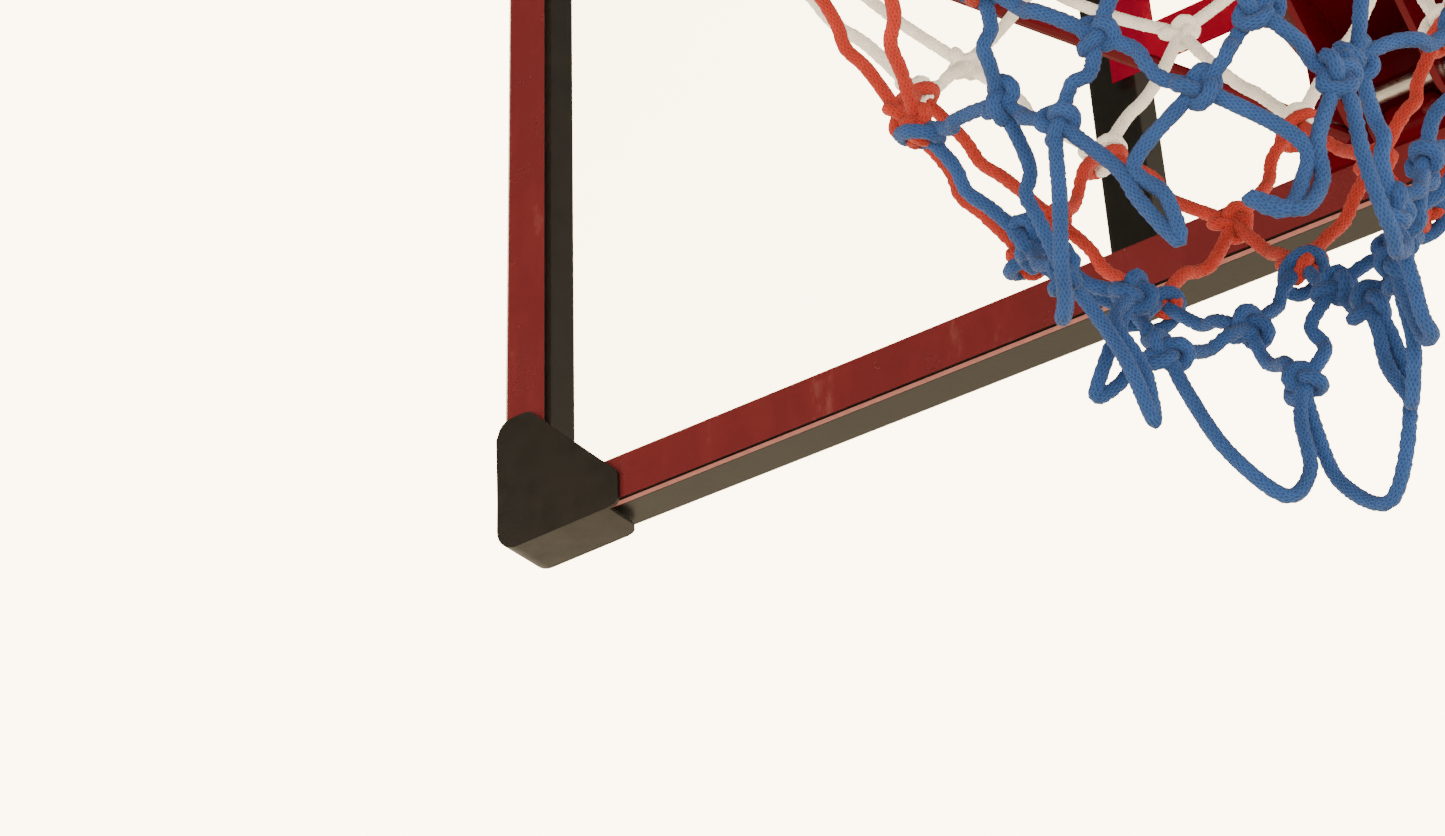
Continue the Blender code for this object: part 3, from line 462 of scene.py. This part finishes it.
class CordMesh:
    """Collects swept cords with plait ribs into one mesh with lengthwise UVs."""

    SIDES = 12
    SPACING = 0.0013
    RIB_PITCH = 0.0052
    RIB_DEPTH = 0.075
    RIB_MIDDLE = 0.45          # the ribs' wave is about this high on average
    UNEVEN = 0.03              # random share by which the cord's thickness varies

    def __init__(self):
        self.points = []
        self.faces = []
        self.uvs = []
        self.count = 0

    def sweep(self, path, radius=CORD_R, closed=False):
        centre, marks = smooth_path(path, self.SPACING, closed)
        rings = len(centre)
        if closed:
            along = np.roll(centre, -1, axis=0) - np.roll(centre, 1, axis=0)
        else:
            along = np.gradient(centre, axis=0)
        along /= np.linalg.norm(along, axis=1)[:, None]
        side = np.zeros_like(centre)
        start = np.cross(along[0], (0.3, 0.5, 0.8))
        side[0] = start / np.linalg.norm(start)
        for k in range(1, rings):
            moved = side[k - 1] - along[k] * (side[k - 1] @ along[k])
            side[k] = moved / np.linalg.norm(moved)
        up = np.cross(along, side)
        turn = np.arange(self.SIDES) * 2 * np.pi / self.SIDES
        phase = 2 * np.pi * marks[:, None] / self.RIB_PITCH
        ribs = np.maximum(np.cos(3 * turn[None, :] + phase), np.cos(3 * turn[None, :] - phase))
        uneven = 1 + self.UNEVEN * rng.standard_normal((rings, 1))
        swell = radius * (1 + self.RIB_DEPTH * (ribs - self.RIB_MIDDLE)) * uneven
        ring = (centre[:, None, :] + swell[:, :, None] * (np.cos(turn)[None, :, None] * side[:, None, :]
                                                          + np.sin(turn)[None, :, None] * up[:, None, :]))
        base = self.count
        self.points.append(ring.reshape(-1, 3))
        self.count += rings * self.SIDES
        spans = rings if closed else rings - 1
        length_scale = 1 / CORD_R
        for k in range(spans):
            here = base + k * self.SIDES
            after = base + ((k + 1) % rings) * self.SIDES
            v0, v1 = marks[k] * length_scale, (marks[k] + self.SPACING) * length_scale
            for s in range(self.SIDES):
                m = (s + 1) % self.SIDES
                self.faces.append((here + s, here + m, after + m, after + s))
                u0, u1 = s / self.SIDES * 6, (s + 1) / self.SIDES * 6
                self.uvs += [u0, v0, u1, v0, u1, v1, u0, v1]
        if not closed:
            last = base + (rings - 1) * self.SIDES
            self.faces.append(tuple(reversed(range(base, base + self.SIDES))))
            self.faces.append(tuple(range(last, last + self.SIDES)))
            self.uvs += [0.5] * (4 * self.SIDES)

    def build(self, name):
        mesh = bpy.data.meshes.new(name)
        mesh.from_pydata(np.concatenate(self.points).tolist(), [], self.faces)
        layer = mesh.uv_layers.new(name="along")
        layer.data.foreach_set("uv", self.uvs)
        mesh.shade_smooth()
        mesh.validate()
        return mesh


def row_point(row, index):
    """Place of knot number index in a row; odd rows sit half a loop round from even ones."""
    height, radius, share = ROWS[row]
    azimuth = FIRST_LOOP + 360 / LOOPS * (index + (0.5 if row % 2 else 0.0))
    azimuth += share * (TWIST + TWIST_SWING * math.cos(math.radians(azimuth + TWIST_TURN)))
    turn = math.radians(azimuth)
    tip = -TIP_UP * share * math.sin(turn)
    out = Vector((math.cos(turn), math.sin(turn), 0))
    middle = Vector((RING_CENTRE.x, RING_CENTRE.y, 0)) + SWAY * share
    return middle + out * radius + Vector((0, 0, SHEET_BASE + height + tip)), out


def knot_places():
    """Every knot's place, nudged a little so that the net hangs unevenly."""
    places = {}
    for row in range(len(ROWS)):
        for index in range(LOOPS):
            point, out = row_point(row, index)
            if row:
                nudge = rng.normal(0, 1, 3) * KNOT_NUDGE
                point = point + Vector(nudge)
            if row == len(ROWS) - 1:
                point = point + Vector(LAST_KNOT_HANG.get(index, (0, 0, 0)))
            places[row, index] = (point, out)
    return places


def trefoil(point, out, size, spin, steps=15):
    """Closed overhand knot lying in the net's surface."""
    across = out.cross(Vector((0, 0, 1))).normalized()
    up = across.cross(out) * -1
    path = []
    for k in range(steps):
        t = 2 * math.pi * k / steps
        x, y = math.sin(t) + 2 * math.sin(2 * t), math.cos(t) - 2 * math.cos(2 * t)
        z = -math.sin(3 * t)
        cx, cy = x * math.cos(spin) - y * math.sin(spin), x * math.sin(spin) + y * math.cos(spin)
        path.append(point + size * (across * cx * 1.08 + up * cy * 0.92) + out * z * size * 1.25)
    return path


def strand(start, end, out):
    """A cord between two knots: slightly bowed out and down."""
    middle = (start + end) / 2
    third = start.lerp(end, 0.33)
    far = start.lerp(end, 0.67)
    wander = Vector(rng.normal(0, STRAND_WANDER, 3))
    drop = Vector((0, 0, -STRAND_SLACK))
    bow = out * STRAND_BOW
    return [start, third + drop * 0.8 + wander, middle + drop + bow, far + drop * 0.7 - wander * 0.6, end]


def row_colour(row):
    """The colour of the cords that hang from a row."""
    return "white" if row < 2 else ("red" if row < 4 else "blue")


def make_net():
    """The whole net: hook loops, strands, knots, links between colours and bottom loops."""
    places = knot_places()
    cords = {name: CordMesh() for name in ("white", "red", "blue")}
    for row in range(len(ROWS) - 1):
        colour = row_colour(row)
        for index in range(LOOPS):
            point, out = places[row, index]
            below = (index, index - 1) if row % 2 == 0 else (index, index + 1)
            lower = [places[row + 1, b % LOOPS] for b in below]
            if row == 0:
                make_hook_loop(cords["white"], point, out, lower)
                continue
            for end, end_out in lower:
                cords[colour].sweep(strand(point, end, (out + end_out) / 2))
    for row in range(1, len(ROWS)):
        for index in range(LOOPS):
            point, out = places[row, index]
            upper = row_colour(row - 1)
            spin = rng.uniform(0, 2 * math.pi)
            lean = (out + Vector(rng.normal(0, KNOT_LEAN, 3))).normalized()
            size = KNOT_SIZE * rng.uniform(0.92, 1.10)
            cords[upper].sweep(trefoil(point, lean, size, spin), CORD_R, True)
            if row_colour(row) != upper:
                make_link(cords[row_colour(row)], point, lean)
    make_scallops(cords["blue"], places)
    for name, cord in cords.items():
        item = new_object(f"net_cords_{name}", cord.build(f"net_cords_{name}"), MATERIALS[f"cord_{name}"],
                          "hoop")
        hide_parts(f"net_{name}")


def make_hook_loop(cord, point, out, lower):
    """The top loop: up from one knot, over the hook and down to the next."""
    across = Vector((-out.y, out.x, 0))
    sides = sorted(lower, key=lambda item: (item[0] - point).dot(across))
    top = point + Vector((0, 0, 0.004))
    left = point - across * 0.007 + Vector((0, 0, -0.010))
    right = point + across * 0.007 + Vector((0, 0, -0.010))
    cord.sweep([sides[0][0], sides[0][0].lerp(left, 0.5) + out * 0.004, left, top, right,
                sides[1][0].lerp(right, 0.5) + out * 0.004, sides[1][0]])


def make_link(cord, point, out):
    """A turn of the lower colour looped round a knot of the upper one."""
    across = out.cross(Vector((0, 0, 1))).normalized()
    path = []
    for k in range(10):
        t = 2 * math.pi * k / 10
        lift = Vector((0, 0, 0.004 * math.sin(t) - 0.005))
        path.append(point + across * 0.0095 * math.sin(t) + out * 0.0090 * math.cos(t) + lift)
    cord.sweep(path, CORD_R, True)


def open_scallop(start, end, out):
    """An even hanging loop between two knots."""
    drop = SCALLOP_DROP * rng.uniform(0.88, 1.12)
    path = []
    for t in (0.0, 0.05, 0.16, 0.32, 0.5, 0.68, 0.84, 0.95, 1.0):
        dip = 1 - abs(2 * t - 1) ** 2.4
        spread = (end - start) * (t - 0.5) * 0.10 * dip
        wander = Vector(rng.normal(0, 0.0011, 3))
        path.append(start.lerp(end, t) + spread + Vector((0, 0, -drop * dip)) + out * 0.004 * dip + wander)
    return path


def own_scallop(start, end, steps):
    """A hanging loop that goes down and back up through stated places, its cords a stated gap apart."""
    middle = (start + end) / 2
    apart = (end - start).normalized()
    down = [middle + Vector(place) - apart * gap / 2 for place, gap in steps]
    back = [middle + Vector(place) + apart * gap / 2 for place, gap in reversed(steps[:-1])]
    return [start] + down + back + [end]


def make_scallops(cord, places):
    """The hanging loops along the net's bottom edge."""
    last = len(ROWS) - 1
    for index in range(LOOPS):
        start, out_a = places[last, index]
        end, out_b = places[last, (index + 1) % LOOPS]
        if index in SCALLOP_HANG:
            cord.sweep(own_scallop(start, end, SCALLOP_HANG[index]))
        else:
            cord.sweep(open_scallop(start, end, ((out_a + out_b) / 2).normalized()))


# ---------------------------------------------------------------- stage, light and camera
BACKDROP = (11.0, 9.2, 6.3)          # linear brightness of the pale studio behind the object
BELOW = (5.6, 4.6, 3.3)              # soft light from the floor's side
AHEAD = (3.2, 2.7, 2.0)              # level with the board
ABOVE = (0.22, 0.19, 0.15)           # dim studio ceiling
FLOOR_GLOW = 1.00                    # the floor gives its own light, so that it looks even
MIRRORED_SHARE = 0.56                # how strongly the studio shows in reflections
DIFFUSE_SHARE = 1.75                 # and how strongly it lights soft surfaces
DARKENS_TOWARDS = (0.0, -0.30, 0.954)    # the studio darkens along this direction
RIM_HEIGHT = 3.05                    # the ring hangs at the game's height above the floor
FLOOR_HALF = 9.0
SOFTBOX_COLOUR = (1.0, 0.84, 0.62)
LIT_POINT = (0, -0.4, -0.45)
SENSOR_WIDTH = 36.0                  # millimetres
LENS = 69.561                        # millimetres
CAMERA_RIGHT = (0.8135, 0.5806, -0.0335)
CAMERA_FORWARD = (-0.4771, 0.6992, 0.5325)
CAMERA_PLACE = (32.123, -38.872, -28.667)      # from the sheet's lower left corner, in line widths


def make_floor():
    """A pale floor that gives its own light and can't be seen from below."""
    height = RING_CENTRE.z - RIM_HEIGHT
    half = FLOOR_HALF
    corners = [(-half, -half, height), (half, -half, height), (half, half, height), (-half, half, height)]
    mesh = bpy.data.meshes.new("floor")
    mesh.from_pydata(corners, [], [(0, 1, 2, 3)])
    item = bpy.data.objects.new("floor", mesh)
    bpy.context.scene.collection.objects.link(item)
    g = Graph("pale_floor")
    tone = g.ramp(g.noise(g.coords(), 3.0, 3.0), ((0.3, (0.80, 0.68, 0.49, 1)), (0.7, (0.86, 0.73, 0.53, 1))))
    g.link(tone, g.shader.inputs["Base Color"])
    g.link(tone, g.shader.inputs["Emission Color"])
    g.set(Roughness=0.85, Emission_Strength=FLOOR_GLOW)
    under = g.node("ShaderNodeNewGeometry").outputs["Backfacing"]
    g.mix_shaders(under, g.shader.outputs["BSDF"], g.node("ShaderNodeBsdfTransparent").outputs["BSDF"])
    mesh.materials.append(g.mat)


def make_world():
    """A pale backdrop for the camera, and light that is bright from below and dim from above."""
    world = bpy.data.worlds.new("studio")
    bpy.context.scene.world = world
    world.use_nodes = True
    tree = world.node_tree
    tree.nodes.clear()
    link = tree.links.new
    output = tree.nodes.new("ShaderNodeOutputWorld")
    seen = tree.nodes.new("ShaderNodeBackground")
    seen.inputs["Color"].default_value = (*BACKDROP, 1)
    light = tree.nodes.new("ShaderNodeBackground")
    where = tree.nodes.new("ShaderNodeTexCoord")
    slope = tree.nodes.new("ShaderNodeVectorMath")
    slope.operation = "DOT_PRODUCT"
    slope.inputs[1].default_value = DARKENS_TOWARDS
    link(where.outputs["Generated"], slope.inputs[0])
    span = tree.nodes.new("ShaderNodeMapRange")
    span.inputs["From Min"].default_value = -1.0
    span.inputs["From Max"].default_value = 1.0
    link(slope.outputs["Value"], span.inputs["Value"])
    ramp = tree.nodes.new("ShaderNodeValToRGB")
    ramp.color_ramp.elements[0].position = 0.15
    ramp.color_ramp.elements[0].color = (*BELOW, 1)
    ramp.color_ramp.elements[1].position = 0.70
    ramp.color_ramp.elements[1].color = (*ABOVE, 1)
    ramp.color_ramp.elements.new(0.48).color = (*AHEAD, 1)
    link(span.outputs["Result"], ramp.inputs["Fac"])
    link(ramp.outputs["Color"], light.inputs["Color"])
    path = tree.nodes.new("ShaderNodeLightPath")
    strength = tree.nodes.new("ShaderNodeMapRange")
    strength.inputs["To Min"].default_value = MIRRORED_SHARE
    strength.inputs["To Max"].default_value = DIFFUSE_SHARE
    link(path.outputs["Is Diffuse Ray"], strength.inputs["Value"])
    link(strength.outputs["Result"], light.inputs["Strength"])
    mix = tree.nodes.new("ShaderNodeMixShader")
    link(path.outputs["Is Camera Ray"], mix.inputs["Fac"])
    link(light.outputs["Background"], mix.inputs[1])
    link(seen.outputs["Background"], mix.inputs[2])
    link(mix.outputs["Shader"], output.inputs["Surface"])


def area_light(name, place, size, power):
    """A softbox that faces the hoop's side of the board."""
    data = bpy.data.lights.new(name, "AREA")
    data.shape = "RECTANGLE"
    data.size, data.size_y = size
    data.energy = power
    data.color = SOFTBOX_COLOUR
    item = bpy.data.objects.new(name, data)
    item.location = place
    item.rotation_euler = (Vector(LIT_POINT) - Vector(place)).to_track_quat("-Z", "Y").to_euler()
    bpy.context.scene.collection.objects.link(item)


def make_lights():
    area_light("front_softbox", place=(1.5, -2.6, -1.9), size=(1.6, 1.6), power=80)
    area_light("side_softbox", place=(-2.2, -1.6, -0.6), size=(0.9, 1.6), power=30)


def make_camera():
    """Below and to the right in front of the board, looking up at its lower left corner."""
    origin = Vector((SHEET_LOW.x, BORDER_LOW.y, SHEET_LOW.z))
    data = bpy.data.cameras.new("camera")
    data.sensor_width = SENSOR_WIDTH
    data.lens = LENS
    data.clip_end = 60
    item = bpy.data.objects.new("camera", data)
    right = Vector(CAMERA_RIGHT).normalized()
    forward = Vector(CAMERA_FORWARD).normalized()
    up = right.cross(forward).normalized()
    right = forward.cross(up).normalized()
    turn = Matrix((right, up, -forward)).transposed().to_4x4()
    place = origin + Vector(CAMERA_PLACE) * LINE_W
    item.matrix_world = Matrix.Translation(place) @ turn
    bpy.context.scene.collection.objects.link(item)
    bpy.context.scene.camera = item


make_camera()
finish_cad()
ease_parts()
make_net()
make_floor()
make_world()
make_lights()
